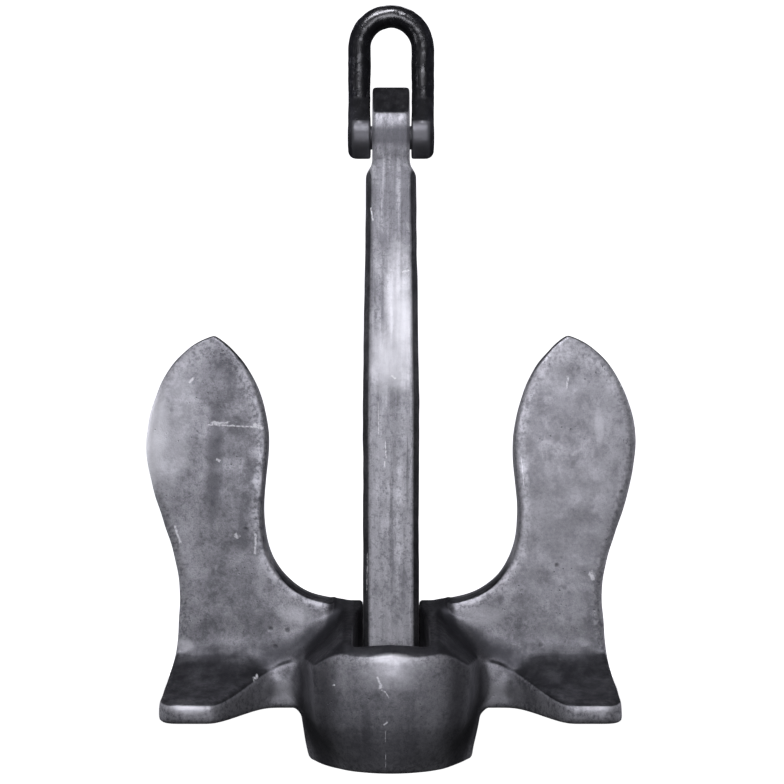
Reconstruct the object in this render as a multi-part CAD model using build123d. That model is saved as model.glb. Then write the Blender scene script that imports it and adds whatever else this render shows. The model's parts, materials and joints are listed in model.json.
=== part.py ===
from build123d import *
import math
import os

# Stockless fluke anchor hung by its shackle, in millimetres. X runs from fluke to fluke,
# Y is the way the flukes tip, and Z runs up the shank. The head, the shank and the shackle
# are the same on both sides of the XZ and YZ planes.
# While the pieces are modelled, every height is measured from the crown pin's axis. They are
# lowered by CHAIN_SEAT_HEIGHT when they are written, so the origin is where the chain bears.

CHAIN_SEAT_HEIGHT = 1142.0    # underside of the bow's round end
SHACKLE_PIN_HEIGHT = 953.0
FLUKE_ANGLE = 45.0            # travel of the head on each side of the shank
RUNNING_CLEARANCE = 0.05      # radial play of a pin that turns in its eye
FITTED_CLEARANCE = 0.02       # radial play of a pin that is driven in

# Shackle
BOW_STOCK = 39.0              # diameter of the round bar
BOW_INNER_WIDTH = 70.0
LUG_RADIUS = 36.0
LUG_EDGE_ROUND = 14.0
CHEEK_LOW = 18.0              # the leg flows into its lug between these heights above the pin
CHEEK_MIDDLE = 34.0
CHEEK_HIGH = 58.0
CHEEK_LOW_HALF_SIZE = (18.5, 31.0)     # across X and Y
CHEEK_MIDDLE_HALF_SIZE = (18.9, 25.0)
CHEEK_HIGH_RADIUS = 19.2
PIN_END_CHAMFER = 1.5
SHACKLE_PIN_RADIUS = 20.0
TAPER_PIN_RADIUS = 4.5
LEAD_DEPTH = 6.0

# Shank
SHANK_HEAD_WIDTH = 64.0
SHANK_TOP_WIDTH = 86.0
SHANK_FOOT_WIDTH = 96.0
SHANK_DEPTH = 76.0
SHANK_EDGE = 10.0             # chamfer of the four long edges
SHANK_CREST_ABOVE_PIN = 86.0
SHANK_CREST_HALF = 9.0
SHANK_EYE_DEPTH = 47.0        # from the middle plane to the front of the upper eye
SHANK_BROW_ABOVE_PIN = 38.0   # the eye's front bulges between brow and chin
SHANK_BROW_DEPTH = 41.0
SHANK_CHIN_BELOW_PIN = 44.0
SHANK_CHIN_DEPTH = 40.0
SHANK_EYE_EDGE = 3.0
SHOULDER_LOW = 886.0
SHOULDER_HIGH = 903.0
TAPER_END = 500.0             # the shank's sides are parallel below this height
FOOT_EYE_RADIUS = 62.0
FOOT_EYE_WIDTH = 116.0

# Crown pin and what holds it
CROWN_PIN_RADIUS = 34.0
CROWN_PIN_LENGTH = 227.0
CROWN_PIN_CHAMFER = 3.0
POCKET_REACH = 114.0          # how far from the middle the pin pockets go
CHOCK_GAP = 0.5
KEEPER_RADIUS = 13.0
KEEPER_HEIGHT = -65.5
KEEPER_OFFSET = 77.0
KEEPER_BLIND_END = -112.0
KEEPER_END_GAP = 1.0
PLUG_LENGTH = 9.0

# Head
UNDERSIDE = -17.0             # flat underside of the arms and palms
ARM_END = 375.0               # outer edge of the palms at their lips
PALM_INNER = 196.0            # the palm flares from the arm between these two
PALM_FULL = 292.0
PALM_DEPTH = 180.0            # from the middle plane to the palm's lip
ARM_DEPTH = 57.0
PALM_LIP_TOP = 15.0
PALM_CORNER = 30.0
ARM_START = 90.0
ARM_LIP_RISE = 48.0
SHELF_TOP = 86.0              # where the shelf meets the fluke, at the arm's end
SHELF_RISE = 44.0             # how much higher that is beside the crown
SHELF_INSET = 9.0             # the shelf's edge ends this far inside the fluke
ROOT_HALF_DEPTH = 43.0        # half thickness of a fluke at its root
LOW_HALF_DEPTH = (36.0, 230.0)         # half thickness further up, and the height
HIGH_HALF_DEPTH = (27.0, 440.0)
TIP_HALF_DEPTH = 10.0
FLUKE_TIP_HEIGHT = 614.0
FLUKE_INNER_END = 98.0
FLUKE_END_ROUND = 45.0
FLUKE_TIP = (303.0, FLUKE_TIP_HEIGHT)
FLUKE_OUTER_SIDE = [(353, 588), (401, 516), (420, 424), (403, 336), (377, 258)]
ROOT_OUTER_SIDE = [(360, 180), (361, 125), (366, 72), (373, 28)]
FLUKE_INNER_SIDE = [(84, 159), (118, 163), (150, 174), (196, 216), (219, 300), (210, 423), (241, 547)]
FLUKE_BURIED_CORNER = (84, 40)
FLUKE_BURIED_DEPTH = 30.0     # height at which the plate starts, inside the arm
CROWN_SIDE = 152.0            # half width of the crown
FLANK_BREAK = -31.0           # its flanks lean in below this height
FLANK_LEAN = 0.19             # by this much for each unit of height
FRONT_SIDE = 134.0            # half width of its bowed front and back, at the top
FRONT_LEAN = 0.067
BARREL_DEPTH = 190.0          # to the crown's fullest point
BARREL_MIDDLE = 30.0
BARREL_SAG = 15.0             # how much shallower it is 100 mm above or below that
BARREL_LOW = -130.0
BARREL_HIGH = 168.0
CROWN_BOTTOM = -124.0
BOTTOM_RADIUS = 520.0
FLANK_HALF_DEPTH = 46.0       # half length of the crown's flat sides
CORNER_START = -22.0          # the sloped corners widen below this height
CORNER_GROWTH = 0.62          # by this much for each unit of height
CORNER_SHARE = 0.80           # how far they reach towards the front, as a part of the depth
CROTCH_HEIGHT = 159.0
ROOF_KNEE = (57.0, 139.0)     # depth and height where the crown's roof changes slope
ROOF_BROW = (165.0, 113.0)
ROOF_EDGE = (220.0, 60.0)
ROOF_FLAT_END = 78.0          # the roof is level from side to side up to here
SHOULDER_BROW = (152.0, 113.0)         # the same there, following the bowed front
SHOULDER_EDGE = (207.0, 60.0)
SIDE_KNEE = (57.0, 64.0)      # the same three at the crown's sides
SIDE_BROW = (165.0, 46.0)
SIDE_EDGE = (220.0, 34.0)
SIDE_RIDGE = 154.0
ROOF_END = 154.0
WELL_HALF_WIDTH = 60.0
WELL_THROAT = (48.6, 26.0)    # half width of the well beside the shank, up to that depth
WELL_NECK = (56.0, 42.0)
WELL_MOUTH = (63.0, 90.0)
WELL_LOW = -20.0              # the well's sloped walls run between these heights
WELL_HIGH = 300.0
FOOT_WELL_RADIUS = 64.0
STOP_GAP = 0.6                # left between shank and stop at full travel


def smooth_step(value, start, end):
    """Goes from 0 to 1, level at both ends, as value goes from start to end."""
    t = min(1.0, max(0.0, (value - start) / (end - start)))
    return t * t * (3 - 2 * t)


def both_sides(shape):
    """A shape and its mirror image across the YZ plane, as one."""
    return shape + mirror(shape, about=Plane.YZ)


def bar_along_x(radius, length, height):
    return Pos(0, 0, height) * Rot(0, 90, 0) * Cylinder(radius, length)


# ---------------------------------------------------------------- shackle

def shackle_bow():
    """Round bar bent to a D, its legs ending in round lugs bored for the pin."""
    inner = BOW_INNER_WIDTH / 2
    stock = BOW_STOCK / 2
    outer = inner + BOW_STOCK
    middle = inner + stock
    bend_height = CHAIN_SEAT_HEIGHT - inner
    left_foot = (-middle, 0, SHACKLE_PIN_HEIGHT)
    left_bend = (-middle, 0, bend_height)
    crest = (0, 0, bend_height + middle)
    right_bend = (middle, 0, bend_height)
    right_foot = (middle, 0, SHACKLE_PIN_HEIGHT)
    bend = ThreePointArc(left_bend, crest, right_bend)
    path = Line(left_foot, left_bend) + bend + Line(right_bend, right_foot)
    section = Plane(origin=left_foot, z_dir=(0, 0, 1)) * Circle(stock)
    bow = sweep(section, path=path)

    lug = Cylinder(LUG_RADIUS, BOW_STOCK)
    lug = fillet(lug.edges().filter_by(GeomType.CIRCLE).sort_by(Axis.Z)[-1], LUG_EDGE_ROUND)
    lug = Pos(middle, 0, SHACKLE_PIN_HEIGHT) * Rot(0, 90, 0) * lug
    cheek = loft([
        Plane(origin=(middle, 0, SHACKLE_PIN_HEIGHT + CHEEK_LOW)) * Ellipse(*CHEEK_LOW_HALF_SIZE),
        Plane(origin=(middle, 0, SHACKLE_PIN_HEIGHT + CHEEK_MIDDLE)) * Ellipse(*CHEEK_MIDDLE_HALF_SIZE),
        Plane(origin=(middle, 0, SHACKLE_PIN_HEIGHT + CHEEK_HIGH)) * Circle(CHEEK_HIGH_RADIUS),
    ])
    bow += both_sides(lug)
    bow += both_sides(cheek)
    bow -= bar_along_x(SHACKLE_PIN_RADIUS + FITTED_CLEARANCE, 2 * outer + 2, SHACKLE_PIN_HEIGHT)
    bow -= taper_pin_space()
    return bow


def taper_pin_space():
    """The bore through the back of the right lug into the pin, with the lead's counterbore."""
    middle = (BOW_INNER_WIDTH + BOW_STOCK) / 2
    bore = Cylinder(TAPER_PIN_RADIUS, LUG_RADIUS, align=(Align.CENTER, Align.CENTER, Align.MIN))
    return Pos(middle, 0, SHACKLE_PIN_HEIGHT) * Rot(-90, 0, 0) * bore


def shackle_pin():
    """Plain pin, flush with the lugs, cross-drilled for the taper pin."""
    length = BOW_INNER_WIDTH + 2 * BOW_STOCK
    pin = bar_along_x(SHACKLE_PIN_RADIUS, length, SHACKLE_PIN_HEIGHT)
    pin = chamfer(pin.edges().filter_by(GeomType.CIRCLE), PIN_END_CHAMFER)
    return pin - taper_pin_space()


def shackle_taper_pin():
    """Locking pin driven through the lug into the shackle pin."""
    middle = (BOW_INNER_WIDTH + BOW_STOCK) / 2
    length = LUG_RADIUS - LEAD_DEPTH - 1
    pin = Cylinder(TAPER_PIN_RADIUS, length, align=(Align.CENTER, Align.CENTER, Align.MIN))
    return Pos(middle, 0, SHACKLE_PIN_HEIGHT) * Rot(-90, 0, 0) * pin


def shackle_lead_plug():
    """Lead hammered in over the taper pin."""
    middle = (BOW_INNER_WIDTH + BOW_STOCK) / 2
    plug = Cylinder(TAPER_PIN_RADIUS, LEAD_DEPTH, align=(Align.CENTER, Align.CENTER, Align.MIN))
    plug = Pos(middle, LUG_RADIUS - LEAD_DEPTH - 1, SHACKLE_PIN_HEIGHT) * Rot(-90, 0, 0) * plug
    return plug


# ---------------------------------------------------------------- shank

def shank_side_outline():
    """Side view of the shank: straight, then a bulging eye under a slanted crest."""
    pin = SHACKLE_PIN_HEIGHT
    half = SHANK_DEPTH / 2
    top = pin + SHANK_CREST_ABOVE_PIN
    chin = (SHANK_CHIN_DEPTH, pin - SHANK_CHIN_BELOW_PIN)
    brow = (SHANK_BROW_DEPTH, pin + SHANK_BROW_ABOVE_PIN)
    back_chin = (-chin[0], chin[1])
    back_brow = (-brow[0], brow[1])
    outline = Polyline(back_chin, (-half, SHOULDER_LOW), (-half, 0), (half, 0), (half, SHOULDER_LOW), chin)
    outline += ThreePointArc(chin, (SHANK_EYE_DEPTH, pin), brow)
    outline += Polyline(brow, (SHANK_CREST_HALF, top), (-SHANK_CREST_HALF, top), back_brow)
    outline += ThreePointArc(back_brow, (-SHANK_EYE_DEPTH, pin), back_chin)
    return make_face(outline)


def shank():
    """Tapered bar with an eye at each end and shoulders under the upper eye."""
    head = SHANK_HEAD_WIDTH / 2
    top = SHANK_TOP_WIDTH / 2
    foot = SHANK_FOOT_WIDTH / 2
    crest = SHACKLE_PIN_HEIGHT + SHANK_CREST_ABOVE_PIN
    front = Polygon(
        (-foot, 0), (foot, 0), (foot, TAPER_END), (top, SHOULDER_LOW), (head, SHOULDER_HIGH), (head, crest),
        (-head, crest), (-head, SHOULDER_HIGH), (-top, SHOULDER_LOW), (-foot, TAPER_END), align=None,
    )
    body = extrude(Plane.XZ * front, SHANK_DEPTH, both=True)

    body &= extrude(Plane.YZ * shank_side_outline(), SHANK_FOOT_WIDTH, both=True)
    corner = SHANK_DEPTH / 2 - 1
    long_edges = body.edges().filter_by(
        lambda e: abs(e.center().Y) > corner and abs(e.center().X) > head and e.center().Z < SHOULDER_LOW - 1
    )
    body = chamfer(long_edges.filter_by(lambda e: e.length > 100), SHANK_EDGE)
    eye_edges = body.edges().filter_by(
        lambda e: abs(abs(e.center().X) - head) < 0.1 and abs(e.center().Y) > corner and e.length > 30
    )
    body = chamfer(eye_edges, SHANK_EYE_EDGE)

    body += bar_along_x(FOOT_EYE_RADIUS, FOOT_EYE_WIDTH, 0)
    body -= bar_along_x(CROWN_PIN_RADIUS + RUNNING_CLEARANCE, 2 * FOOT_EYE_WIDTH, 0)
    body -= bar_along_x(SHACKLE_PIN_RADIUS + RUNNING_CLEARANCE, 2 * SHANK_FOOT_WIDTH, SHACKLE_PIN_HEIGHT)
    return body


# ---------------------------------------------------------------- head

def arm_section(x):
    """The arm's outline across X: flat underside, lip, and a shelf that sweeps up to the fluke's root."""
    flare = smooth_step(x, PALM_INNER, PALM_FULL)
    depth = ARM_DEPTH + (PALM_DEPTH - ARM_DEPTH) * flare
    lip = PALM_LIP_TOP + ARM_LIP_RISE * smooth_step(x, PALM_FULL, CROWN_SIDE)
    root = SHELF_TOP + SHELF_RISE * ((ARM_END - x) / (ARM_END - ARM_START)) ** 2
    face = ROOT_HALF_DEPTH - SHELF_INSET
    back_lip = Line((depth, UNDERSIDE), (depth, lip))
    back_shelf = Spline(
        [(depth, lip), (face, root)], tangents=[(-1, 0.25), (-0.4, 1)], tangent_scalars=[1.0, 0.9]
    )
    top = Line((face, root), (-face, root))
    front_shelf = Spline(
        [(-face, root), (-depth, lip)], tangents=[(-0.4, -1), (-1, -0.25)], tangent_scalars=[0.9, 1.0]
    )
    front_lip = Line((-depth, lip), (-depth, UNDERSIDE))
    under = Line((-depth, UNDERSIDE), (depth, UNDERSIDE))
    outline = back_lip + back_shelf + top + front_shelf + front_lip + under
    return Plane.YZ.offset(x) * make_face(outline)


def arm_trim():
    """Everything inside the flared outer side."""
    side = Spline(ROOT_OUTER_SIDE)
    top, foot = ROOT_OUTER_SIDE[0], ROOT_OUTER_SIDE[-1]
    rest = Polyline(foot, (ARM_END, UNDERSIDE), (0, UNDERSIDE), (0, top[1]), top)
    return extrude(Plane.XZ * make_face(side + rest), 2 * PALM_DEPTH, both=True)


def arm():
    """Arm and palm of the right-hand side."""
    count = 18
    stations = [ARM_START + (PALM_FULL - ARM_START) * i / count for i in range(count + 1)]
    flared = loft([arm_section(x) for x in stations], ruled=True)
    palm = extrude(arm_section(PALM_FULL), ARM_END - PALM_FULL, dir=(1, 0, 0))
    palm = fillet(palm.edges().filter_by(Axis.Z).group_by(Axis.X)[-1], PALM_CORNER)
    return (flared + palm) & arm_trim()


def fluke_outline():
    """Front view of the right-hand fluke and its root."""
    outer = Spline([FLUKE_TIP, *FLUKE_OUTER_SIDE, *ROOT_OUTER_SIDE])
    base = Line(ROOT_OUTER_SIDE[-1], FLUKE_BURIED_CORNER)
    inside = Line(FLUKE_BURIED_CORNER, FLUKE_INNER_SIDE[0])
    inner = Spline([*FLUKE_INNER_SIDE, FLUKE_TIP])
    return make_face(outer + base + inside + inner)


def fluke():
    """Right-hand fluke: a plate that thins towards its tip."""
    plate = extrude(Plane.XZ * fluke_outline(), 2 * ROOT_HALF_DEPTH, both=True)
    points = [(ROOT_HALF_DEPTH, FLUKE_BURIED_DEPTH), LOW_HALF_DEPTH, HIGH_HALF_DEPTH]
    edge = Spline([*points, (TIP_HALF_DEPTH, FLUKE_TIP_HEIGHT + 2)])
    low = Line((-ROOT_HALF_DEPTH, FLUKE_BURIED_DEPTH), (ROOT_HALF_DEPTH, FLUKE_BURIED_DEPTH))
    high = Line((TIP_HALF_DEPTH, FLUKE_TIP_HEIGHT + 2), (-TIP_HALF_DEPTH, FLUKE_TIP_HEIGHT + 2))
    wedge = make_face(edge + high + mirror(edge, about=Plane.YZ) + low)
    plate &= extrude(Plane.YZ * wedge, 900)
    plan = Pos(FLUKE_INNER_END + 200, 0) * RectangleRounded(400, 130, FLUKE_END_ROUND)
    return plate & extrude(plan, 900)


def crown_section(height, half_width, depth):
    """Plan of the crown at one height: straight flanks, sloped corners and bowed front and back."""
    flank = FLANK_HALF_DEPTH
    corner_x = FRONT_SIDE - FRONT_LEAN * (BARREL_HIGH - height)
    corner_x -= CORNER_GROWTH * max(0.0, CORNER_START - height)
    corner_y = CORNER_SHARE * depth
    points = [(half_width, -flank), (half_width, flank), (corner_x, corner_y)]
    right = Line(points[0], points[1])
    back_right = Line(points[1], points[2])
    back = ThreePointArc(points[2], (0, depth), (-corner_x, corner_y))
    back_left = Line((-corner_x, corner_y), (-half_width, flank))
    left = Line((-half_width, flank), (-half_width, -flank))
    front_left = Line((-half_width, -flank), (-corner_x, -corner_y))
    front = ThreePointArc((-corner_x, -corner_y), (0, -depth), (corner_x, -corner_y))
    front_right = Line((corner_x, -corner_y), points[0])
    outline = right + back_right + back + back_left + left + front_left + front + front_right
    return Plane.XY.offset(height) * make_face(outline)


def crown_barrel():
    """The crown's bulging outside, before the well and the pockets are cut."""
    count = 14
    span = BARREL_HIGH - BARREL_LOW
    sections = []
    for i in range(count + 1):
        height = BARREL_LOW + span * i / count
        depth = BARREL_DEPTH - BARREL_SAG * ((height - BARREL_MIDDLE) / 100) ** 2
        half_width = CROWN_SIDE - FLANK_LEAN * max(0.0, FLANK_BREAK - height)
        sections.append(crown_section(height, half_width, depth))
    return loft(sections, ruled=True)


def crown_roof_section(x, ridge, knee, brow, edge):
    """Limits the crown's top: a ridge whose slopes steepen towards the front and back walls."""
    floor = BARREL_LOW - 10
    back = [(0, ridge), knee, brow, edge, (edge[0], floor)]
    front = [(-y, z) for y, z in reversed(back[1:])]
    return Plane.YZ.offset(x) * Polygon(*back, *front, align=None)


def crown():
    """Barrel under its roof, with a bottom that is convex both ways."""
    centre = crown_roof_section(0, CROTCH_HEIGHT, ROOF_KNEE, ROOF_BROW, ROOF_EDGE)
    shoulder = crown_roof_section(ROOF_FLAT_END, CROTCH_HEIGHT, ROOF_KNEE, SHOULDER_BROW, SHOULDER_EDGE)
    end = crown_roof_section(ROOF_END, SIDE_RIDGE, SIDE_KNEE, SIDE_BROW, SIDE_EDGE)
    roof = loft([centre, shoulder], ruled=True)
    roof += loft([shoulder, end], ruled=True)
    roof = both_sides(roof)
    bottom = Pos(0, 0, CROWN_BOTTOM + BOTTOM_RADIUS) * Sphere(BOTTOM_RADIUS)
    return crown_barrel() & roof & bottom


def shank_well():
    """The space that the shank's foot and its swing need."""
    lean = math.radians(FLUKE_ANGLE)
    at_pin = (SHANK_DEPTH / 2 + STOP_GAP) / math.cos(lean)
    low = WELL_LOW
    high = WELL_HIGH
    wedge = Polygon(
        (-at_pin - low * math.tan(lean), low), (at_pin + low * math.tan(lean), low),
        (at_pin + high * math.tan(lean), high), (-at_pin - high * math.tan(lean), high), align=None,
    )
    swing = extrude(Plane.YZ * wedge, WELL_MOUTH[0] + 5, both=True)
    back_right = [WELL_THROAT, WELL_NECK, WELL_MOUTH, (WELL_MOUTH[0], high)]
    back_left = [(-x, y) for x, y in reversed(back_right)]
    front_left = [(-x, -y) for x, y in back_right]
    front_right = [(x, -y) for x, y in reversed(back_right)]
    throat = Polygon(*back_right, *back_left, *front_left, *front_right, align=None)
    swing &= extrude(throat, high)
    foot = bar_along_x(FOOT_WELL_RADIUS, 2 * WELL_HALF_WIDTH, 0)
    drop = Pos(0, 0, -100) * Box(2 * WELL_HALF_WIDTH, 2 * FOOT_WELL_RADIUS, 200)
    return swing + foot + drop


def pin_pocket():
    """Seat for the crown pin's ends, open downwards so that the pin goes in from below."""
    seat = bar_along_x(CROWN_PIN_RADIUS + FITTED_CLEARANCE, 2 * POCKET_REACH, 0)
    drop = Pos(0, 0, -100) * Box(2 * POCKET_REACH, 2 * (CROWN_PIN_RADIUS + FITTED_CLEARANCE), 200)
    return seat + drop


def keeper_bore(side):
    """Blind bore from the crown's back, under one end of the crown pin."""
    length = 300 - KEEPER_BLIND_END
    bore = Cylinder(KEEPER_RADIUS + FITTED_CLEARANCE, length, align=(Align.CENTER, Align.CENTER, Align.MIN))
    return Pos(side * KEEPER_OFFSET, KEEPER_BLIND_END, KEEPER_HEIGHT) * Rot(-90, 0, 0) * bore


def head_casting():
    """Crown, arms, palms and flukes in one casting."""
    half = arm() + fluke()
    head = crown() + both_sides(half)
    head -= shank_well()
    head -= pin_pocket()
    for side in (-1, 1):
        head -= keeper_bore(side)
    return head


def crown_pin():
    pin = bar_along_x(CROWN_PIN_RADIUS, CROWN_PIN_LENGTH, 0)
    return chamfer(pin.edges().filter_by(GeomType.CIRCLE), CROWN_PIN_CHAMFER)


def pin_chock(side):
    """Block that closes a pocket under the crown pin, with a half-round seat on top."""
    inner = WELL_HALF_WIDTH + CHOCK_GAP
    outer = POCKET_REACH - CHOCK_GAP
    top = -2.0
    bottom = KEEPER_HEIGHT + KEEPER_RADIUS + FITTED_CLEARANCE
    block = Box(outer - inner, 2 * CROWN_PIN_RADIUS - 2 * CHOCK_GAP, top - bottom)
    block = Pos(side * (inner + outer) / 2, 0, (top + bottom) / 2) * block
    return block - bar_along_x(CROWN_PIN_RADIUS + FITTED_CLEARANCE, 2 * CROWN_PIN_LENGTH, 0)


def crown_back(side):
    """How far back the crown's surface is, where a keeper bore comes out."""
    start = Vector(side * KEEPER_OFFSET, 0, KEEPER_HEIGHT)
    line = Edge.make_line(start, start + Vector(0, 400, 0))
    return (crown_barrel() & line).edges().sort_by(Axis.Y)[-1].bounding_box().max.Y


def keeper_pin(side, back):
    length = back - PLUG_LENGTH - KEEPER_BLIND_END - KEEPER_END_GAP
    pin = Cylinder(KEEPER_RADIUS, length, align=(Align.CENTER, Align.CENTER, Align.MIN))
    pin = chamfer(pin.edges().filter_by(GeomType.CIRCLE), PIN_END_CHAMFER)
    return Pos(side * KEEPER_OFFSET, KEEPER_BLIND_END + KEEPER_END_GAP, KEEPER_HEIGHT) * Rot(-90, 0, 0) * pin


def keeper_plug(side, back):
    """Weld that seals the bore behind a keeper pin, ground flush with the crown."""
    weld = Cylinder(KEEPER_RADIUS + FITTED_CLEARANCE, 60, align=(Align.CENTER, Align.CENTER, Align.MIN))
    weld = Pos(side * KEEPER_OFFSET, back - PLUG_LENGTH, KEEPER_HEIGHT) * Rot(-90, 0, 0) * weld
    return weld & crown_barrel()


def write(name, shape):
    solids = [Pos(0, 0, -CHAIN_SEAT_HEIGHT) * solid for solid in shape.solids()]
    body = solids[0] if len(solids) == 1 else Compound(children=solids)
    body.label = name
    export_step(body, os.path.join("parts", name + ".step"))


def main():
    os.makedirs("parts", exist_ok=True)
    write("shackle_bow", shackle_bow())
    write("shackle_pin", shackle_pin())
    write("shackle_taper_pin", shackle_taper_pin())
    write("shackle_lead_plug", shackle_lead_plug())
    write("shank", shank())
    write("head_casting", head_casting())
    write("crown_pin", crown_pin())
    for side, word in ((-1, "left"), (1, "right")):
        back = crown_back(side)
        write("pin_chock_" + word, pin_chock(side))
        write("keeper_pin_" + word, keeper_pin(side, back))
        write("keeper_plug_" + word, keeper_plug(side, back))


main()
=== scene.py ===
import json
import math
from itertools import product

import bpy
import numpy as np
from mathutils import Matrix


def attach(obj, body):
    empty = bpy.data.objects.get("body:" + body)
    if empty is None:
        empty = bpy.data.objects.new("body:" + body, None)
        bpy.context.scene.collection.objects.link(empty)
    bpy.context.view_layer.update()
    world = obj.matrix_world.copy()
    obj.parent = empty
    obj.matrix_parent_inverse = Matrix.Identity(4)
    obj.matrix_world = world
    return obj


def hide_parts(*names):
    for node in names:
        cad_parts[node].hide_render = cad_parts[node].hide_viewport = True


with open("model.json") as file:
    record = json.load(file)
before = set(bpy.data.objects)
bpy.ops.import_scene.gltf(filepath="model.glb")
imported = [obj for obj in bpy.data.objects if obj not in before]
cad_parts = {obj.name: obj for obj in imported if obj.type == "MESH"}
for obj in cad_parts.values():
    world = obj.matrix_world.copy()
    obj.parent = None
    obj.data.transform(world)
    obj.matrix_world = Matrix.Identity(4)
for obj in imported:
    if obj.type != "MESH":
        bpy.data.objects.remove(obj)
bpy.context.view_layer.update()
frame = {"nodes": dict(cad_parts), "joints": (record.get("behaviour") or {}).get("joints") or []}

import openvdb as vdb
from mathutils import Vector

# Looks for the stockless fluke anchor. Everything is in the row's frame, in metres: the chain
# seat is the origin, +Z runs up the shank and -Y faces the camera. Places on the metal are
# given as X and height above the crown pin.

MM = 0.001
JOINT_Z = {joint["name"]: joint["pos_m"][2] for joint in frame["joints"]}
CROWN_PIN_Z = JOINT_Z["fluke_tilt"]
SHACKLE_PIN_Z = JOINT_Z["shackle_swing"]
ABOVE_WELL = (0.20, 0.26)     # the shank's skin starts to be eased between these heights
BLUR_REACH = 3.0              # how far a blur looks, in sigmas
METALLIC = 0.72               # the steel's; scratches have none, so they stay pale
COLD = (0.98, 0.975, 1.06)    # the lamps' faint blue tint


# ---------------------------------------------------------------- cast skins

def blur(field, sigma):
    """Gaussian blur of a 3-D array; sigma is in cells."""
    radius = int(math.ceil(BLUR_REACH * sigma))
    offsets = np.arange(-radius, radius + 1)
    weights = np.exp(-0.5 * (offsets / sigma) ** 2)
    weights = (weights / weights.sum()).astype(np.float32)
    for axis in range(3):
        length = field.shape[axis]
        margins = [(0, 0)] * 3
        margins[axis] = (radius, radius)
        padded = np.pad(field, margins, mode="edge")
        total = np.zeros_like(field)
        for start, weight in enumerate(weights):
            window = [slice(None)] * 3
            window[axis] = slice(start, start + length)
            total += weight * padded[tuple(window)]
        field = total
    return field


def ramp(value, start, end):
    """Goes from 0 to 1, level at both ends, as value goes from start to end."""
    t = np.clip((value - start) / (end - start), 0.0, 1.0)
    return t * t * (3.0 - 2.0 * t)


def blend(a, b, share):
    """The given share of the way from a to b."""
    return a + (b - a) * share


def sample(field, low, cell, points):
    """Trilinear reading of a field at points in metres."""
    spot = points / cell - np.array(low)
    base = np.clip(np.floor(spot).astype(int), 0, np.array(field.shape) - 2)
    part = np.clip(spot - base, 0.0, 1.0)
    total = np.zeros(len(points))
    for corner in product((0, 1), repeat=3):
        share = np.where(corner, part, 1.0 - part).prod(axis=1)
        total += share * field[tuple((base + corner).T)]
    return total


def swell(points, wavelength, seed, waves=9):
    """Soft unevenness between about -1 and 1, from a few sine waves in random directions."""
    rng = np.random.default_rng(seed)
    total = np.zeros(len(points))
    for _ in range(waves):
        direction = rng.normal(size=3)
        direction /= np.linalg.norm(direction)
        length = wavelength * rng.uniform(0.7, 1.6)
        phase = rng.uniform(0.0, 2.0 * math.pi)
        total += np.sin(points @ direction * (2.0 * math.pi / length) + phase)
    return total / math.sqrt(waves)


def signed_distance(node, cell, band):
    """Distance to a CAD node's surface in metres, on a grid; negative inside the metal."""
    mesh = frame["nodes"][node].data
    mesh.calc_loop_triangles()
    points = np.empty(len(mesh.vertices) * 3, np.float32)
    mesh.vertices.foreach_get("co", points)
    corners = np.empty(len(mesh.loop_triangles) * 3, np.int32)
    mesh.loop_triangles.foreach_get("vertices", corners)
    grid = vdb.FloatGrid.createLevelSetFromPolygons(
        points.reshape(-1, 3),
        triangles=corners.reshape(-1, 3).astype(np.uint32),
        transform=vdb.createLinearTransform(voxelSize=cell),
        halfWidth=band / cell,
    )
    low, high = grid.evalActiveVoxelBoundingBox()
    field = np.empty([b - a + 1 for a, b in zip(low, high)], np.float32)
    grid.copyToArray(field, ijk=low)
    return field, low


def grid_axes(field, low, cell):
    """X, Y and Z of the grid's cells, shaped to combine with the field."""
    x, y, z = ((np.arange(count) + start) * cell for count, start in zip(field.shape, low))
    return x[:, None, None], y[None, :, None], z[None, None, :]


def skin_from_field(name, field, low, cell):
    """Smooth closed mesh where the field is zero, with its points in metres and its normals."""
    grid = vdb.FloatGrid(1.0)
    grid.copyFromArray(field.astype(np.float32), ijk=low, tolerance=0.0)
    grid.transform = vdb.createLinearTransform(voxelSize=cell)
    points, quads = grid.convertToQuads(isovalue=0.0)
    mesh = bpy.data.meshes.new(name)
    mesh.from_pydata([tuple(p) for p in points.tolist()], [], [tuple(q) for q in quads.tolist()])
    mesh.validate()
    mesh.update()
    outward = np.empty(len(mesh.vertices) * 3)
    mesh.vertices.foreach_get("normal", outward)
    return mesh, np.array(points, float), outward.reshape(-1, 3)


def store(mesh, name, values):
    """Keeps one value per vertex, clipped to 0..1, for a material to read."""
    layer = mesh.attributes.new(name, "FLOAT", "POINT")
    layer.data.foreach_set("value", np.clip(values, 0.0, 1.0).astype(np.float32))


def finish_skin(mesh, points, outward, lift, node, body, material):
    """Moves the surface by lift metres along its normals and puts it in the CAD node's place."""
    moved = points + outward * lift[:, None]
    mesh.vertices.foreach_set("co", moved.astype(np.float32).ravel())
    mesh.update()
    mesh.polygons.foreach_set("use_smooth", np.ones(len(mesh.polygons), bool))
    piece = bpy.data.objects.new(node + "_skin", mesh)
    bpy.context.scene.collection.objects.link(piece)
    mesh.materials.append(material)
    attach(piece, body)
    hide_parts(node)


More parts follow.
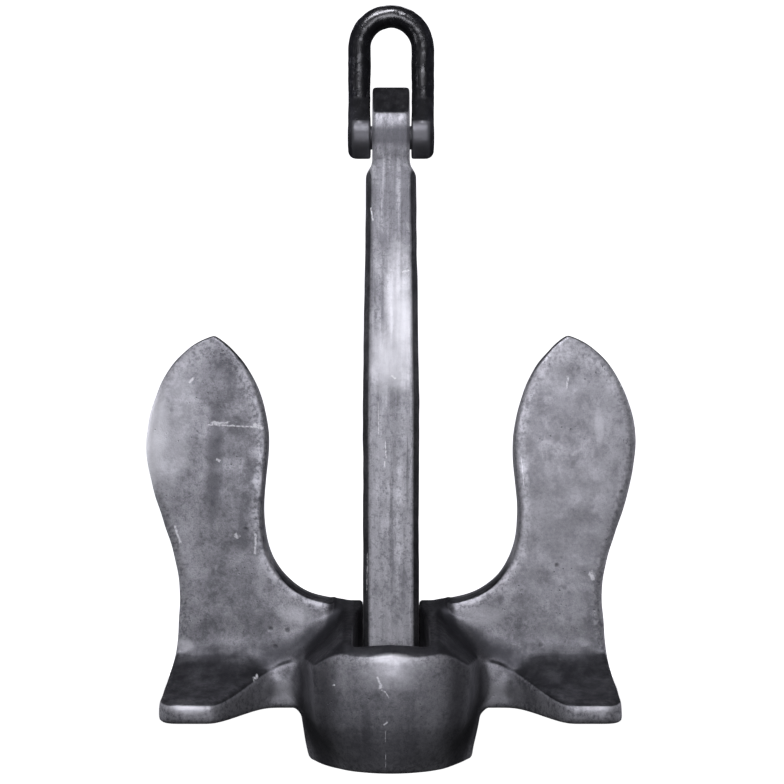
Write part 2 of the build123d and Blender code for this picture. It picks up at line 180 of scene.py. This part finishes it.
def head_skin(material):
    """Head casting with rounded edges, cast fillets and a slightly uneven surface."""
    cell = 3.0 * MM
    field, low = signed_distance("head_casting", cell, 30.0 * MM)
    x, y, z = grid_axes(field, low, cell)
    side = np.abs(x)
    height = z - CROWN_PIN_Z
    crisp, fine, medium, coarse = (blur(field, sigma * MM / cell) for sigma in (2.2, 4.2, 8.0, 15.0))

    # The flukes' outer edges are rounder than the rest, and their tips are crisper.
    outer_edge = ramp(side, 0.28, 0.34) * ramp(height, 0.10, 0.16) * ramp(height, 0.56, 0.46)
    rounded = blend(fine, medium, outer_edge)
    rounded = blend(rounded, crisp, ramp(height, 0.575, 0.600))

    # Inner corners are filled, and metal is added where each fluke's inner end meets the crown.
    filled = np.minimum(rounded, coarse)
    inner_end = ramp(side, 0.056, 0.094) * ramp(side, 0.106, 0.098)
    filled -= 4.5 * MM * inner_end * ramp(np.abs(y), 0.055, 0.005) * ramp(height, 0.135, 0.150)

    # Inside the well no metal is added, so that the shank stays clear.
    eroded = np.maximum(field, crisp)
    result = blend(eroded, filled, ramp(side, 0.066, 0.088))
    mesh, points, outward = skin_from_field("head_casting_skin", result, low, cell)
    bend = sample(coarse - fine, low, cell, points) / (3.5 * MM)
    store(mesh, "edge", bend)
    store(mesh, "cavity", -bend)
    store(mesh, "facing_up", outward[:, 2])

    # The well and the palms' flat undersides stay true.
    side = np.abs(points[:, 0])
    above_underside = ramp(points[:, 2] - CROWN_PIN_Z, -0.016, -0.010)
    under_crown = ramp(side, 0.16, 0.14)
    lift = 0.9 * MM * swell(points, 0.16, 11) + 0.35 * MM * swell(points, 0.05, 12, 14)
    lift *= ramp(side, 0.07, 0.10) * np.maximum(above_underside, under_crown)
    finish_skin(mesh, points, outward, lift, "head_casting", "head", material)


def shank_skin(material):
    """Shank with hammered, eased edges; nothing is added to it in the well."""
    cell = 2.0 * MM
    field, low = signed_distance("shank", cell, 20.0 * MM)
    height = grid_axes(field, low, cell)[2] - CROWN_PIN_Z
    fine = blur(field, 3.0 * MM / cell)
    coarse = blur(field, 8.0 * MM / cell)
    filled = np.minimum(fine, coarse)
    eroded = np.maximum(field, fine)
    result = blend(eroded, filled, ramp(height, *ABOVE_WELL))
    mesh, points, outward = skin_from_field("shank_skin", result, low, cell)
    bend = sample(coarse - fine, low, cell, points) / (2.0 * MM)
    store(mesh, "cavity", -bend)
    store(mesh, "facing_up", outward[:, 2])
    store(mesh, "sideways", np.abs(outward[:, 0]))
    height = points[:, 2] - CROWN_PIN_Z
    lift = 0.45 * MM * swell(points, 0.18, 21) + 0.2 * MM * swell(points, 0.04, 22, 14)
    lift *= ramp(height, *ABOVE_WELL) * ramp(height, 0.87, 0.84)
    finish_skin(mesh, points, outward, lift, "shank", "shank", material)


def bow_skin(material):
    """Forged shackle bow with soft lug edges; nothing is added at its bore or between its lugs."""
    cell = 1.5 * MM
    field, low = signed_distance("shackle_bow", cell, 14.0 * MM)
    x, y, z = grid_axes(field, low, cell)
    fine = blur(field, 1.8 * MM / cell)
    coarse = blur(field, 5.0 * MM / cell)
    filled = np.minimum(fine, coarse)
    eroded = np.maximum(field, fine)
    from_bore = ramp(np.hypot(y, z - SHACKLE_PIN_Z), 0.023, 0.028)
    from_inner_face = ramp(np.abs(x), 0.037, 0.041)
    result = blend(eroded, filled, from_bore * from_inner_face)
    mesh, points, outward = skin_from_field("shackle_bow_skin", result, low, cell)
    lift = 0.35 * MM * swell(points, 0.05, 31) + 0.15 * MM * swell(points, 0.014, 32, 14)
    lift *= ramp(np.hypot(points[:, 1], points[:, 2] - SHACKLE_PIN_Z), 0.03, 0.05)
    finish_skin(mesh, points, outward, lift, "shackle_bow", "shackle", material)


# ---------------------------------------------------------------- materials

class Graph:
    """A material's node tree, built from short calls. Heights are above the crown pin."""

    def __init__(self, name):
        self.material = bpy.data.materials.new(name)
        self.material.use_nodes = True
        self.tree = self.material.node_tree
        self.tree.nodes.clear()
        self.shader = self.tree.nodes.new("ShaderNodeBsdfPrincipled")
        output = self.tree.nodes.new("ShaderNodeOutputMaterial")
        self.tree.links.new(self.shader.outputs[0], output.inputs[0])
        self.place = self.tree.nodes.new("ShaderNodeTexCoord").outputs["Object"]
        parts = self.tree.nodes.new("ShaderNodeSeparateXYZ")
        self.feed(parts.inputs[0], self.place)
        self.across, self.depth, self.tall = parts.outputs

    def feed(self, socket, value):
        if isinstance(value, bpy.types.NodeSocket):
            self.tree.links.new(value, socket)
        else:
            socket.default_value = value

    def surface(self, name, value):
        """Sets one of the shader's own inputs."""
        self.feed(self.shader.inputs[name], value)

    def attribute(self, name):
        node = self.tree.nodes.new("ShaderNodeAttribute")
        node.attribute_name = name
        return node.outputs["Fac"]

    def math(self, kind, a, b=0.0):
        node = self.tree.nodes.new("ShaderNodeMath")
        node.operation = kind
        self.feed(node.inputs[0], a)
        self.feed(node.inputs[1], b)
        return node.outputs[0]

    def times(self, a, b):
        return self.math("MULTIPLY", a, b)

    def larger(self, a, b):
        return self.math("MAXIMUM", a, b)

    def absolute(self, value):
        return self.math("ABSOLUTE", value)

    def inverse(self, share):
        return self.math("SUBTRACT", 1.0, share)

    def ramp(self, value, start, end, low=0.0, high=1.0):
        """Maps value from start..end to low..high, smoothly and clamped."""
        node = self.tree.nodes.new("ShaderNodeMapRange")
        node.interpolation_type = "SMOOTHSTEP"
        self.feed(node.inputs["Value"], value)
        self.feed(node.inputs["From Min"], start)
        self.feed(node.inputs["From Max"], end)
        self.feed(node.inputs["To Min"], low)
        self.feed(node.inputs["To Max"], high)
        return node.outputs[0]

    def height(self, start, end, low=0.0, high=1.0):
        """A ramp over the height above the crown pin."""
        return self.ramp(self.tall, CROWN_PIN_Z + start, CROWN_PIN_Z + end, low, high)

    def from_middle(self, start, end):
        """A ramp over the distance from the middle plane, along X."""
        return self.ramp(self.absolute(self.across), start, end)

    def front(self, value):
        """Keeps a value on the -Y side only."""
        return self.times(value, self.ramp(self.depth, 0.0, -0.004))

    def mix(self, share, a, b):
        """The colour that is share of the way from a to b."""
        node = self.tree.nodes.new("ShaderNodeMix")
        node.data_type = "RGBA"
        self.feed(node.inputs[0], share)
        self.feed(node.inputs[6], a)
        self.feed(node.inputs[7], b)
        return node.outputs[2]

    def mottled(self, tone, pattern, *layers):
        """Mixes colours in as a pattern goes from start to end, each up to its share."""
        for start, end, share, colour in layers:
            tone = self.mix(self.ramp(pattern, start, end, 0.0, share), tone, colour)
        return tone

    def stretched(self, scale, shift=(0.0, 0.0, 0.0)):
        node = self.tree.nodes.new("ShaderNodeMapping")
        self.feed(node.inputs["Vector"], self.place)
        node.inputs["Scale"].default_value = scale
        node.inputs["Location"].default_value = shift
        return node.outputs[0]

    def noise(self, scale, detail=4.0, rough=0.55, warp=0.0, vector=None):
        node = self.tree.nodes.new("ShaderNodeTexNoise")
        self.feed(node.inputs["Vector"], self.place if vector is None else vector)
        node.inputs["Scale"].default_value = scale
        node.inputs["Detail"].default_value = detail
        node.inputs["Roughness"].default_value = rough
        node.inputs["Distortion"].default_value = warp
        return node.outputs["Fac"]

    def cells(self, scale):
        """Distance from the nearest of many scattered points."""
        node = self.tree.nodes.new("ShaderNodeTexVoronoi")
        self.feed(node.inputs["Vector"], self.place)
        node.inputs["Scale"].default_value = scale
        return node.outputs["Distance"]

    def bump(self, height, distance, strength, normal=None):
        node = self.tree.nodes.new("ShaderNodeBump")
        node.inputs["Strength"].default_value = strength
        node.inputs["Distance"].default_value = distance
        self.feed(node.inputs["Height"], height)
        if normal is not None:
            self.feed(node.inputs["Normal"], normal)
        return node.outputs[0]

    def local(self, centre, turn, size):
        """Coordinates about a centre (X and height), in units of size, turned by an angle."""
        node = self.tree.nodes.new("ShaderNodeMapping")
        node.vector_type = "TEXTURE"
        self.feed(node.inputs["Vector"], self.place)
        node.inputs["Location"].default_value = (centre[0], 0.0, CROWN_PIN_Z + centre[1])
        node.inputs["Rotation"].default_value = (0.0, turn, 0.0)
        node.inputs["Scale"].default_value = (size[0], 1.0, size[1])
        parts = self.tree.nodes.new("ShaderNodeSeparateXYZ")
        self.feed(parts.inputs[0], node.outputs[0])
        return parts.outputs[0], parts.outputs[2]

    def blob(self, centre, size, turn=0.0, uneven=None):
        """1 at a centre, fading to 0 about size away; uneven is a noise around 0."""
        u, v = self.local(centre, turn, size)
        square = self.math("ADD", self.times(u, u), self.times(v, v))
        if uneven is not None:
            square = self.math("ADD", square, uneven)
        return self.ramp(square, 1.2, -0.2)

    def blobs(self, spots, uneven):
        """Several soft spots together, on the -Y side only."""
        total = None
        for centre, size, turn, strength in spots:
            one = self.times(self.blob(centre, size, turn, uneven), strength)
            total = one if total is None else self.larger(total, one)
        return self.front(total)

    def scratch(self, start, end, width, ragged):
        """A ragged stroke from start to end; ragged is a noise around 0."""
        middle = ((start[0] + end[0]) / 2.0, (start[1] + end[1]) / 2.0)
        reach = math.hypot(end[0] - start[0], end[1] - start[1]) / 2.0
        turn = -math.atan2(end[1] - start[1], end[0] - start[0])
        u, v = self.local(middle, turn, (reach, width))
        along = self.ramp(self.absolute(self.math("ADD", u, ragged)), 1.0, 0.75)
        wander = self.math("ADD", v, self.times(ragged, 2.2))
        return self.times(along, self.ramp(self.absolute(wander), 1.0, 0.35))

    def scratches(self, strokes):
        """All strokes together, on the -Y side only, worn thin in places."""
        ragged = self.math("SUBTRACT", self.noise(130.0, 3.0, 0.6), 0.5)
        total = None
        for start, end, width in strokes:
            one = self.scratch(start, end, width, ragged)
            total = one if total is None else self.larger(total, one)
        patchy = self.ramp(self.noise(240.0, 2.0), 0.36, 0.52, 0.25, 1.0)
        return self.front(self.times(total, patchy))


# Scratches and rubbed marks: start and end (X and height above the crown pin), and half width.
HEAD_STROKES = (
    ((-0.312, 0.461), (-0.218, 0.456), 0.0020),
    ((-0.306, 0.463), (-0.276, 0.461), 0.0050),
    ((-0.236, 0.461), (-0.216, 0.454), 0.0042),
    ((-0.345, 0.532), (-0.336, 0.541), 0.0030),
    ((-0.298, 0.402), (-0.290, 0.398), 0.0035),
    ((-0.266, 0.276), (-0.258, 0.268), 0.0045),
    ((-0.229, 0.276), (-0.231, 0.238), 0.0026),
    ((-0.368, 0.292), (-0.356, 0.256), 0.0026),
    ((0.226, 0.352), (0.221, 0.410), 0.0009),
    ((0.300, 0.520), (0.302, 0.545), 0.0024),
    ((0.338, 0.214), (0.343, 0.196), 0.0050),
    ((-0.0224, 0.0627), (-0.0168, 0.0490), 0.0022),
    ((-0.0172, 0.0500), (-0.0150, 0.0425), 0.0042),
    ((-0.0152, 0.0415), (-0.0075, 0.0370), 0.0016),
    ((-0.0075, 0.0365), (-0.0030, 0.0275), 0.0012),
    ((-0.0120, -0.0160), (-0.0050, -0.0093), 0.0020),
    ((-0.0086, -0.0220), (-0.0088, -0.0450), 0.0006),
    ((-0.0084, -0.0600), (-0.0086, -0.0880), 0.0006),
    ((-0.0945, 0.0440), (-0.0895, 0.0455), 0.0014),
    ((-0.222, 0.042), (-0.230, 0.037), 0.0042),
)
SHANK_STROKES = (
    ((-0.022, 0.505), (-0.021, 0.440), 0.0007),
    ((-0.010, 0.435), (-0.008, 0.402), 0.0012),
    ((-0.011, 0.400), (-0.011, 0.388), 0.0016),
    ((0.018, 0.720), (0.032, 0.722), 0.0022),
    ((-0.034, 0.830), (-0.031, 0.806), 0.0018),
    ((0.000, 0.545), (0.008, 0.538), 0.0026),
    ((-0.040, 0.245), (-0.041, 0.170), 0.0009),
)

# Painted highlights and painted shade, with some pale and dark patches in the metal: centre (X and
# height above the crown pin), size, turn and strength.
HEAD_SHEEN_AND_PALE = (
    ((-0.372, 0.450), (0.044, 0.150), 0.10, 0.50),
    ((-0.350, 0.088), (0.020, 0.014), 0.5, 0.60),
    ((-0.182, 0.012), (0.045, 0.022), 0.0, 0.38),
    ((0.182, 0.012), (0.045, 0.022), 0.0, 0.32),
    ((-0.160, 0.138), (0.040, 0.020), 0.15, 0.42),
    ((-0.325, 0.010), (0.040, 0.011), 0.0, 0.80),
    ((0.290, 0.390), (0.150, 0.360), 0.0, 0.34),
    ((0.354, 0.458), (0.012, 0.045), 0.0, 0.60),
    ((0.160, 0.138), (0.040, 0.020), -0.15, 0.42),
    ((0.330, 0.010), (0.036, 0.011), 0.0, 0.70),
    ((0.004, 0.078), (0.062, 0.046), 0.0, 0.55),
)
HEAD_SHADE_AND_DARK = (
    ((-0.300, 0.410), (0.017, 0.150), 0.03, 0.75),
    ((-0.292, 0.562), (0.042, 0.050), 0.0, 0.55),
    ((-0.252, 0.270), (0.016, 0.034), 0.0, 0.55),
    ((-0.178, 0.080), (0.090, 0.024), -0.50, 0.92),
    ((0.178, 0.080), (0.090, 0.024), 0.50, 0.92),
    ((0.282, 0.438), (0.007, 0.007), 0.0, 0.90),
    ((0.310, 0.396), (0.006, 0.006), 0.0, 0.80),
    ((-0.040, -0.030), (0.010, 0.060), 0.0, 0.60),
    ((0.0, -0.060), (0.110, 0.050), 0.0, 0.35),
)


def cast_noises(g):
    """The casting's bands, patches, speckle and sandy grain, from large to small."""
    bands = g.noise(1.0, 3.0, 0.55, 0.2, g.stretched((17.0, 17.0, 3.6)))
    patches = g.noise(30.0, 6.0, 0.66, 0.15)
    speckle = g.noise(150.0, 4.0, 0.7)
    grain = g.noise(480.0, 3.0, 0.7)
    return bands, patches, speckle, grain


def cast_holes(g):
    """Scattered dark spots, and clusters of small pits."""
    where = g.noise(9.0, 2.0, 0.5, 0.0, g.stretched((1, 1, 1), (5, 3, 2)))
    spots = g.times(g.ramp(g.cells(34.0), 0.05, 0.20, 1.0, 0.0), g.ramp(where, 0.55, 0.66))
    where = g.noise(16.0, 3.0)
    pits = g.times(g.ramp(g.cells(110.0), 0.0, 0.20, 1.0, 0.0), g.ramp(where, 0.50, 0.62))
    return spots, pits


def cast_mottle(g, bands, patches, speckle, grain):
    """The casting's own grey, before any marks."""
    broad = g.noise(4.5, 2.0, 0.5, 0.2)
    tone = g.mix(g.ramp(broad, 0.35, 0.65), (0.27, 0.27, 0.287, 1), (0.345, 0.343, 0.362, 1))
    tone = g.mottled(
        tone, bands,
        (0.50, 0.68, 0.60, (0.56, 0.556, 0.578, 1)),
        (0.48, 0.32, 0.60, (0.15, 0.15, 0.163, 1)),
    )
    tone = g.mottled(
        tone, patches,
        (0.50, 0.66, 0.50, (0.54, 0.537, 0.56, 1)),
        (0.48, 0.32, 0.55, (0.14, 0.14, 0.152, 1)),
    )
    tone = g.mottled(
        tone, speckle,
        (0.50, 0.66, 0.35, (0.44, 0.437, 0.45, 1)),
        (0.50, 0.34, 0.50, (0.13, 0.13, 0.14, 1)),
    )
    return g.mottled(tone, grain, (0.42, 0.62, 0.30, (0.11, 0.11, 0.12, 1)))


def cast_steel():
    """As-cast steel: mottled, grainy, pitted, rubbed bright on its edges, with painted shade and
    painted highlights.
    """
    g = Graph("cast_steel_looks")
    bands, patches, speckle, grain = cast_noises(g)
    spots, pits = cast_holes(g)
    strokes = g.scratches(HEAD_STROKES)
    uneven = g.times(g.math("SUBTRACT", g.noise(26.0, 4.0, 0.65, 0.3), 0.5), 1.5)
    lighter = g.blobs(HEAD_SHEEN_AND_PALE, uneven)
    darker = g.blobs(HEAD_SHADE_AND_DARK, uneven)

    # Worn edges; the left fluke's bright outer side, a painted highlight over rubbed bare metal; and
    # a painted highlight on the crown's knee.
    worn = g.times(g.ramp(g.attribute("edge"), 0.30, 0.95), g.ramp(speckle, 0.40, 0.62))
    rubbed = g.front(g.blob((-0.416, 0.440), (0.040, 0.130), 0.06))
    knee_highlight = g.front(g.blob((0.002, 0.089), (0.038, 0.010), 0.0, g.times(uneven, 0.5)))

    # Painted shade beside the crown, on what faces up, on the crown's roof and in the well.
    side_shade = g.times(g.from_middle(0.070, 0.108), g.from_middle(0.166, 0.152))
    side_shade = g.times(side_shade, g.ramp(g.depth, -0.050, -0.075))
    up = g.ramp(g.attribute("facing_up"), 0.34, 0.62)
    up = g.times(up, g.ramp(g.depth, 0.020, -0.020, 0.6, 1.0))
    up = g.times(up, g.ramp(patches, 0.34, 0.66, 0.97, 0.86))
    roof_shade = g.times(g.from_middle(0.114, 0.102), g.height(0.088, 0.100))
    inside = g.times(g.from_middle(0.0655, 0.0625), g.height(0.0, 0.02))
    inside = g.times(inside, g.ramp(g.absolute(g.depth), 0.155, 0.140))

    tone = cast_mottle(g, bands, patches, speckle, grain)
    tone = g.mix(g.times(worn, 0.45), tone, (0.60, 0.60, 0.62, 1))
    # Painted shade on the flukes, the shelves and the crown's lower part, and some dark spots.
    tone = g.mix(darker, tone, (0.11, 0.11, 0.122, 1))
    # Painted highlights and sheen on the flukes, palms and crown, and some pale patches.
    tone = g.mix(lighter, tone, (0.74, 0.738, 0.76, 1))
    # Painted highlight and rubbed bare metal on the left fluke's outer side.
    tone = g.mix(g.times(rubbed, 0.85), tone, (0.86, 0.86, 0.87, 1))
    # Painted shade beside the crown.
    tone = g.mix(g.times(side_shade, 0.80), tone, (0.045, 0.045, 0.050, 1))
    # Painted shade on what faces up.
    tone = g.mix(up, tone, (0.018, 0.018, 0.021, 1))
    # Painted shade on the crown's roof.
    tone = g.mix(g.times(roof_shade, 0.75), tone, (0.018, 0.018, 0.021, 1))
    # Painted highlight on the crown's knee.
    tone = g.mix(g.times(knee_highlight, 0.42), tone, (0.97, 0.97, 0.98, 1))
    # Painted shade in the hollows.
    tone = g.mottled(tone, g.attribute("cavity"), (0.1, 0.9, 0.6, (0.035, 0.035, 0.040, 1)))
    tone = g.mix(g.times(spots, 0.55), tone, (0.06, 0.06, 0.065, 1))
    tone = g.mix(g.times(pits, 0.6), tone, (0.05, 0.05, 0.055, 1))
    tone = g.mix(g.times(strokes, 0.72), tone, (0.92, 0.92, 0.93, 1))
    # Painted shade in the well.
    tone = g.mix(g.times(inside, 0.90), tone, (0.012, 0.012, 0.014, 1))

    g.surface("Base Color", tone)
    bare = g.larger(strokes, g.times(rubbed, 0.35))
    g.surface("Metallic", g.times(g.inverse(bare), METALLIC))
    rough = g.ramp(patches, 0.30, 0.70, 0.60, 0.46)
    g.surface("Roughness", g.math("SUBTRACT", rough, g.times(worn, 0.10)))
    dents = g.bump(patches, 0.9 * MM, 0.6)
    skin = g.bump(speckle, 0.45 * MM, 0.7, dents)
    sand = g.bump(grain, 0.16 * MM, 0.7, skin)
    g.surface("Normal", g.bump(g.inverse(g.larger(pits, spots)), 0.8 * MM, 0.8, sand))
    return g.material


def shank_steel():
    """Forged bar: lighter, with marks drawn out along its length."""
    g = Graph("shank_steel_looks")
    broad = g.noise(4.0, 3.0, 0.5, 0.2)
    patches = g.noise(1.0, 6.0, 0.66, 0.2, g.stretched((42.0, 42.0, 20.0)))
    speckle = g.noise(170.0, 4.0, 0.7)
    grain = g.noise(500.0, 3.0, 0.7)
    drawn = g.noise(1.0, 5.0, 0.65, 0.1, g.stretched((95.0, 95.0, 4.5)))
    strokes = g.scratches(SHANK_STROKES)

    # A polished stretch in the middle with a painted sheen on it, and painted shade at the upper eye,
    # on top and on the chamfers.
    uneven = g.times(g.math("SUBTRACT", g.noise(38.0, 4.0, 0.6, 0.3), 0.5), 1.1)
    high = g.blob((0.018, 0.640), (0.030, 0.140), -0.05, uneven)
    low = g.blob((0.000, 0.572), (0.052, 0.070), 0.0, uneven)
    polish_and_sheen = g.front(g.larger(high, g.times(low, 0.90)))
    eye_shade = g.times(g.height(0.925, 0.942), g.height(0.972, 0.958))
    top_shade = g.times(g.ramp(g.attribute("facing_up"), 0.18, 0.42), g.height(0.93, 0.95))
    sideways = g.attribute("sideways")
    chamfer_shade = g.front(g.times(g.ramp(sideways, 0.25, 0.55), g.ramp(sideways, 0.97, 0.90)))
    chamfer_shade = g.times(chamfer_shade, g.height(0.895, 0.888, 0.0, 0.90))
    shade = g.times(g.larger(top_shade, chamfer_shade), g.ramp(patches, 0.34, 0.66, 0.98, 0.90))

    tone = g.mix(g.ramp(broad, 0.35, 0.65), (0.29, 0.29, 0.307, 1), (0.40, 0.398, 0.417, 1))
    tone = g.mix(g.height(0.56, 0.44, 0.0, 0.40), tone, (0.74, 0.738, 0.76, 1))
    tone = g.mottled(
        tone, drawn,
        (0.48, 0.66, 0.45, (0.70, 0.70, 0.72, 1)),
        (0.46, 0.32, 0.50, (0.17, 0.17, 0.18, 1)),
    )
    tone = g.mottled(
        tone, patches,
        (0.50, 0.66, 0.50, (0.70, 0.70, 0.72, 1)),
        (0.48, 0.32, 0.55, (0.17, 0.17, 0.185, 1)),
    )
    tone = g.mottled(tone, speckle, (0.50, 0.36, 0.50, (0.16, 0.16, 0.17, 1)))
    tone = g.mottled(tone, grain, (0.42, 0.62, 0.25, (0.13, 0.13, 0.14, 1)))
    # Painted sheen on the polished stretch.
    tone = g.mix(g.times(polish_and_sheen, 0.75), tone, (0.94, 0.94, 0.95, 1))
    # Painted shade at the upper eye.
    tone = g.mix(g.times(eye_shade, 0.80), tone, (0.10, 0.10, 0.11, 1))
    # Painted shade on top and on the chamfers.
    tone = g.mix(shade, tone, (0.010, 0.010, 0.012, 1))
    # Painted shade in the hollows.
    tone = g.mottled(tone, g.attribute("cavity"), (0.1, 0.9, 0.6, (0.06, 0.06, 0.07, 1)))
    tone = g.mix(g.times(strokes, 0.85), tone, (0.95, 0.95, 0.95, 1))

    g.surface("Base Color", tone)
    g.surface("Metallic", g.times(g.inverse(strokes), METALLIC))
    satin = g.ramp(drawn, 0.30, 0.70, 0.56, 0.44)
    g.surface("Roughness", g.larger(satin, g.times(top_shade, 0.90)))
    dents = g.bump(patches, 0.8 * MM, 0.5)
    lines = g.bump(drawn, 0.3 * MM, 0.5, dents)
    skin = g.bump(speckle, 0.3 * MM, 0.6, lines)
    g.surface("Normal", g.bump(grain, 0.14 * MM, 0.6, skin))
    return g.material


def black_enamel():
    """Thick black paint over a rough forging: glossy on the bow, worn to grey on its lugs."""
    g = Graph("black_enamel_looks")
    patches = g.noise(70.0, 5.0, 0.65, 0.4)
    grain = g.noise(560.0, 3.0, 0.7)
    scale = g.noise(1.0, 4.0, 0.7, 0.9, g.stretched((210.0, 210.0, 130.0)))
    rubbed = g.times(g.ramp(scale, 0.56, 0.68), g.ramp(patches, 0.46, 0.58))

    # Glossy above, grey lugs below, and a dull stretch between them.
    glossy = g.height(1.014, 1.026)
    lugs = g.times(g.height(0.980, 0.974), g.from_middle(0.068, 0.061))
    between = g.inverse(g.larger(glossy, lugs))

    tone = g.mix(g.ramp(patches, 0.35, 0.65), (0.002, 0.002, 0.003, 1), (0.008, 0.008, 0.010, 1))
    tone = g.mix(g.times(rubbed, 0.25), tone, (0.14, 0.14, 0.155, 1))
    tone = g.mix(g.times(lugs, 0.85), tone, (0.16, 0.16, 0.17, 1))
    g.surface("Base Color", tone)
    g.surface("Metallic", g.times(lugs, 0.60))
    g.surface("Coat Weight", glossy)
    g.surface("Coat Roughness", 0.17)
    smooth = g.ramp(patches, 0.3, 0.7, 0.40, 0.24)
    dull = g.larger(smooth, g.times(lugs, 0.46))
    g.surface("Roughness", g.larger(dull, g.times(between, 0.90)))
    dents = g.bump(patches, 0.8 * MM, 0.6)
    rough = g.bump(scale, 0.35 * MM, 0.8, dents)
    g.surface("Coat Normal", rough)
    g.surface("Normal", g.bump(grain, 0.06 * MM, 0.5, rough))
    return g.material


def plain_steel(name, dark, light, rough, scale):
    """Machined or ground steel with smears and fine scoring."""
    g = Graph(name)
    smear = g.noise(scale, 5.0, 0.6, 0.7)
    fine = g.noise(scale * 14.0, 3.0, 0.7)
    tone = g.mix(g.ramp(smear, 0.32, 0.68), (*dark, 1.0), (*light, 1.0))
    tone = g.mottled(tone, fine, (0.4, 0.65, 0.35, (0.06, 0.06, 0.065, 1)))
    g.surface("Base Color", tone)
    g.surface("Metallic", 0.85)
    g.surface("Roughness", g.ramp(smear, 0.3, 0.7, rough + 0.12, rough - 0.06))
    coarse = g.bump(smear, 0.5 * MM, 0.6)
    g.surface("Normal", g.bump(fine, 0.15 * MM, 0.6, coarse))
    return g.material


# ---------------------------------------------------------------- stage

def studio():
    """Pale round cove: a floor that curves up into a wall all round."""
    floor_z = CROWN_PIN_Z - 0.90
    floor_radius = 5.0
    bend = 3.0
    wall_height = 14.0
    steps = 16
    sides = 96
    rings = [(floor_radius, floor_z)]
    for i in range(1, steps + 1):
        turn = 0.5 * math.pi * i / steps
        rings.append((floor_radius + bend * math.sin(turn), floor_z + bend * (1.0 - math.cos(turn))))
    rings.append((floor_radius + bend, floor_z + wall_height))
    points = [(0.0, 0.0, floor_z)]
    for radius, z in rings:
        for i in range(sides):
            turn = 2.0 * math.pi * i / sides
            points.append((radius * math.cos(turn), radius * math.sin(turn), z))
    faces = [(0, 1 + i, 1 + (i + 1) % sides) for i in range(sides)]
    for ring in range(len(rings) - 1):
        start = 1 + ring * sides
        for i in range(sides):
            j = (i + 1) % sides
            faces.append((start + i, start + j, start + sides + j, start + sides + i))
    mesh = bpy.data.meshes.new("studio_cove")
    mesh.from_pydata(points, [], faces)
    mesh.polygons.foreach_set("use_smooth", np.ones(len(mesh.polygons), bool))
    cove = bpy.data.objects.new("studio_cove", mesh)
    bpy.context.scene.collection.objects.link(cove)
    mesh.materials.append(studio_paper())
    cove.visible_diffuse = False
    cove.visible_glossy = False
    cove.visible_shadow = False


def studio_paper():
    """Nearly white paper that glows, so that the background stays white."""
    g = Graph("studio_paper")
    tone = g.mix(g.noise(2.0, 2.0), (0.90, 0.90, 0.905, 1), (0.93, 0.93, 0.935, 1))
    g.surface("Base Color", tone)
    g.surface("Roughness", 0.95)
    g.surface("Emission Color", tone)
    g.surface("Emission Strength", 1.15)
    return g.material


def area_light(name, place, target, size, power, shiny=True):
    """A lamp of a width and height, aimed at a target; one that isn't shiny makes no highlights."""
    lamp = bpy.data.lights.new(name, "AREA")
    lamp.shape = "RECTANGLE"
    lamp.size, lamp.size_y = size
    lamp.energy = power
    lamp.color = COLD
    light = bpy.data.objects.new(name, lamp)
    bpy.context.scene.collection.objects.link(light)
    light.location = place
    light.rotation_euler = (Vector(target) - Vector(place)).to_track_quat("-Z", "Y").to_euler()
    light.visible_camera = False
    light.visible_glossy = shiny


def lights():
    """Soft light from the upper front, a rim on the left, and fills for the sides and back."""
    area_light("key", (-0.45, -2.55, 2.75), (0.0, 0.0, -0.85), (1.7, 1.2), 105.0)
    area_light("front", (0.06, -3.6, -0.15), (0.0, 0.0, -0.6), (1.9, 1.3), 30.0)
    area_light("front_spot", (0.030, -3.3, -0.38), (0.014, 0.0, -0.52), (0.26, 0.34), 3.0)
    area_light("left_rim", (-2.8, -1.9, -0.4), (-0.35, 0.0, -0.75), (0.35, 1.4), 7.0)
    for side, word in ((-1.0, "left"), (1.0, "right")):
        area_light("back_" + word, (side * 1.7, 3.0, 0.9), (0.0, 0.0, -0.7), (1.6, 1.6), 90.0, False)
        area_light("side_" + word, (side * 3.2, 0.6, 0.2), (0.0, 0.0, -0.7), (1.2, 1.6), 190.0, False)
    area_light("back_top", (0.3, 2.8, 2.6), (0.0, 0.0, -0.6), (1.2, 0.8), 6.0)
    world = bpy.data.worlds.new("studio_air")
    bpy.context.scene.world = world
    world.use_nodes = True
    air = world.node_tree.nodes["Background"]
    air.inputs["Color"].default_value = (0.9, 0.92, 1.0, 1.0)
    air.inputs["Strength"].default_value = 0.03


def camera():
    """Level view, square to the flukes and nearly central."""
    rightward = 0.0017
    distance = 2.58
    height = 0.516
    lens = bpy.data.cameras.new("camera")
    lens.sensor_width = 36.0
    lens.lens = 68.9
    lens.clip_start = 0.05
    lens.clip_end = 60.0
    eye = bpy.data.objects.new("camera", lens)
    bpy.context.scene.collection.objects.link(eye)
    eye.location = (rightward, -distance, CROWN_PIN_Z + height)
    eye.rotation_euler = (math.radians(90.0), 0.0, 0.0)
    bpy.context.scene.camera = eye


def dress(node, material):
    """Gives a CAD node's mesh one material throughout."""
    mesh = frame["nodes"][node].data
    if not mesh.materials:
        mesh.materials.append(material)
    for i in range(len(mesh.materials)):
        mesh.materials[i] = material


cast = cast_steel()
enamel = black_enamel()
pins = plain_steel("pin_steel_looks", (0.16, 0.16, 0.17), (0.34, 0.34, 0.35), 0.42, 60.0)
welds = plain_steel("weld_looks", (0.14, 0.14, 0.15), (0.40, 0.40, 0.41), 0.48, 110.0)
lead = plain_steel("lead_looks", (0.20, 0.205, 0.22), (0.36, 0.365, 0.38), 0.55, 220.0)

head_skin(cast)
shank_skin(shank_steel())
bow_skin(enamel)
dress("shackle_pin", enamel)
dress("shackle_taper_pin", pins)
dress("shackle_lead_plug", lead)
dress("crown_pin", pins)
for side in ("left", "right"):
    dress("pin_chock_" + side, pins)
    dress("keeper_pin_" + side, pins)
    dress("keeper_plug_" + side, welds)

studio()
lights()
camera()
bpy.context.scene.view_settings.view_transform = "Standard"
